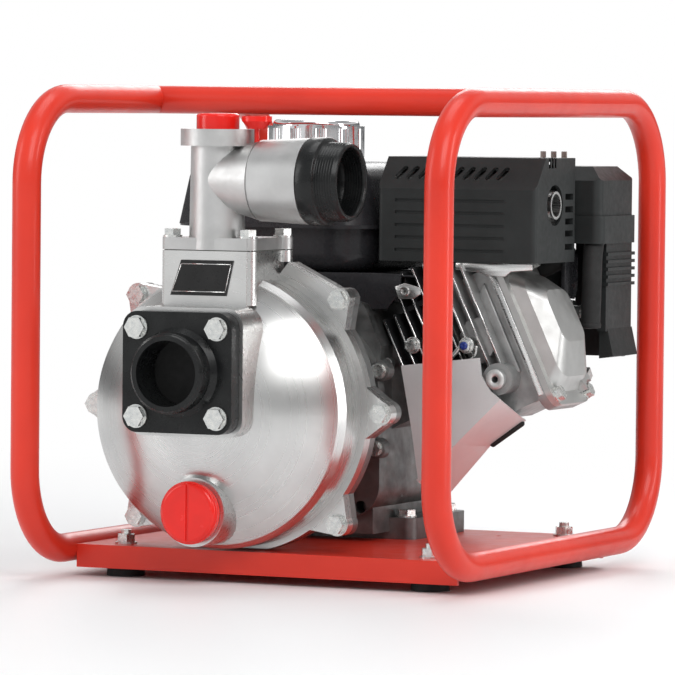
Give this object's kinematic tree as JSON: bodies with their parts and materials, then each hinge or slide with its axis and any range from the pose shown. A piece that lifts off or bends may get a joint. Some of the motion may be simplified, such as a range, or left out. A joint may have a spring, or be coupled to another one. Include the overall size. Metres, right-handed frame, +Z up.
{
  "type": "gas engine trash pump",
  "caption": "Self-priming trash pump with a polished cast casing, direct-coupled to a small petrol engine, carried in a red tube roll frame.",
  "frame": {"origin": "centre of the bounding box's bottom face, on the plane of the rubber feet", "axes": "+Z up, -Y towards the suction mouth along the pump and crank axis, +X towards the discharge mouth"},
  "size_m": [0.3682, 0.4731, 0.3821],
  "materials": {
    "red_paint": "gloss",
    "cast_aluminium": "polished",
    "grey_casting": "cast satin",
    "bright_cover": "satin",
    "black_iron": "satin e-coat",
    "fin_black": "satin",
    "zinc": "zinc plated",
    "steel": "machined",
    "iron": "cast",
    "piston_alloy": "machined",
    "rubber": "matte",
    "gasket": "fibre",
    "ceramic": "ceramic",
    "red_plastic": "gloss",
    "badge_black": "satin",
    "black_plastic": "moulded",
    "tank_paint": "satin",
    "chrome": "plated",
    "filter_foam": "pleated paper"
  },
  "bodies": {
    "body": {"left_hoop": "red_paint", "right_hoop": "red_paint", "cross_tube": "red_paint", "base_plate": "red_paint", "rubber_feet": "rubber", "foot_bolts": "zinc", "pump_casing": "cast_aluminium", "casing_adapter": "grey_casting", "casing_o_ring": "rubber", "casing_bolts": "zinc", "suction_gasket": "rubber", "suction_flange": "black_iron", "suction_bolts": "zinc", "name_badge": "badge_black", "riser_gasket": "gasket", "riser_elbow": "cast_aluminium", "riser_bolts": "zinc", "discharge_nipple": "black_iron", "volute_insert": "iron", "seal_seat": "ceramic", "adapter_bolts": "zinc", "crankcase": "grey_casting", "side_cover": "grey_casting", "engine_cover_bolts": "zinc", "cylinder": "fin_black", "head_gasket": "gasket", "cylinder_head": "grey_casting", "valve_cover": "bright_cover", "cylinder_shroud": "bright_cover", "spark_plug": "steel", "plug_cap": "rubber", "ignition_lead": "rubber", "piston": "piston_alloy", "fan_housing": "black_plastic", "recoil_cover": "black_plastic", "muffler": "steel", "muffler_guard": "black_plastic", "air_cleaner_base": "black_plastic", "filter_element": "filter_foam", "intake_elbow": "black_plastic", "carburettor": "grey_casting", "side_panel": "black_plastic", "fuel_tank": "tank_paint", "engine_bolts": "zinc"},
    "crank_set": {"crankshaft": "steel", "flywheel": "iron", "impeller": "iron", "seal_ring": "steel"},
    "flap": {"check_flap": "rubber"},
    "drain": {"drain_plug": "red_plastic"},
    "filler": {"filler_cap": "red_plastic"},
    "vent": {"vent_knob": "red_plastic"},
    "starter_grip": {"recoil_grip": "black_plastic"},
    "starter_pulley": {"recoil_pulley": "black_plastic"},
    "air_cover": {"air_cleaner_cover": "black_plastic"},
    "tank_cap": {"fuel_cap": "chrome"},
    "choke": {"choke_lever": "steel"},
    "fuel_tap": {"fuel_lever": "steel"},
    "switch": {"engine_switch": "red_plastic"},
    "dipstick": {"oil_dipstick": "black_plastic"}
  },
  "joints": [
    {"name": "crank_spin", "type": "hinge", "parent": "body", "child": "crank_set", "pos_m": [-0.035, 0, 0.133], "axis": [0, 1, 0], "continuous": true},
    {"name": "flap_swing", "type": "hinge", "parent": "body", "child": "flap", "pos_m": [-0.035, -0.19815, 0.196], "axis": [1, 0, 0], "range_deg": [0, 40]},
    {"name": "drain_plug_turn", "type": "hinge", "parent": "body", "child": "drain", "pos_m": [-0.035, 0, 0.0575], "axis": [0, -1, 0], "range_deg": [0, 360]},
    {"name": "filler_cap_turn", "type": "hinge", "parent": "body", "child": "filler", "pos_m": [-0.035, -0.15055, 0.35], "axis": [0, 0, 1], "range_deg": [0, 360]},
    {"name": "vent_knob_turn", "type": "hinge", "parent": "body", "child": "vent", "pos_m": [-0.002, -0.15055, 0.35], "axis": [0, 0, 1], "range_deg": [0, 180]},
    {"name": "grip_pull", "type": "slide", "parent": "body", "child": "starter_grip", "axis": [-0.7071, 0, 0.7071], "range_m": [0, 0.6], "stiffness_N_per_m": 12},
    {"name": "pulley_spin", "type": "hinge", "parent": "body", "child": "starter_pulley", "pos_m": [-0.035, 0, 0.133], "axis": [0, 1, 0], "range_deg": [-1400, 0]},
    {"name": "air_cover_lift", "type": "slide", "parent": "body", "child": "air_cover", "axis": [0, 0, 1], "range_m": [0, 0.035]},
    {"name": "tank_cap_turn", "type": "hinge", "parent": "body", "child": "tank_cap", "pos_m": [-0.062, 0.08345, 0], "axis": [0, 0, 1], "range_deg": [0, 90]},
    {"name": "choke_swing", "type": "hinge", "parent": "body", "child": "choke", "pos_m": [0.1524, 0.12745, 0.205], "axis": [1, 0, 0], "range_deg": [0, 60]},
    {"name": "fuel_tap_swing", "type": "hinge", "parent": "body", "child": "fuel_tap", "pos_m": [0.1524, 0.11645, 0.172], "axis": [1, 0, 0], "range_deg": [-50, 0]},
    {"name": "switch_turn", "type": "hinge", "parent": "body", "child": "switch", "pos_m": [0.022, 0, 0.211], "axis": [0, 1, 0], "range_deg": [0, 45]},
    {"name": "dipstick_turn", "type": "hinge", "parent": "body", "child": "dipstick", "pos_m": [-0.112, 0.06045, 0.062], "axis": [-0.866, 0, 0.5], "range_deg": [0, 360]}
  ],
  "couplings": [
    {"joint": "pulley_spin", "follows": "grip_pull", "rad_per_m": -36}
  ]
}
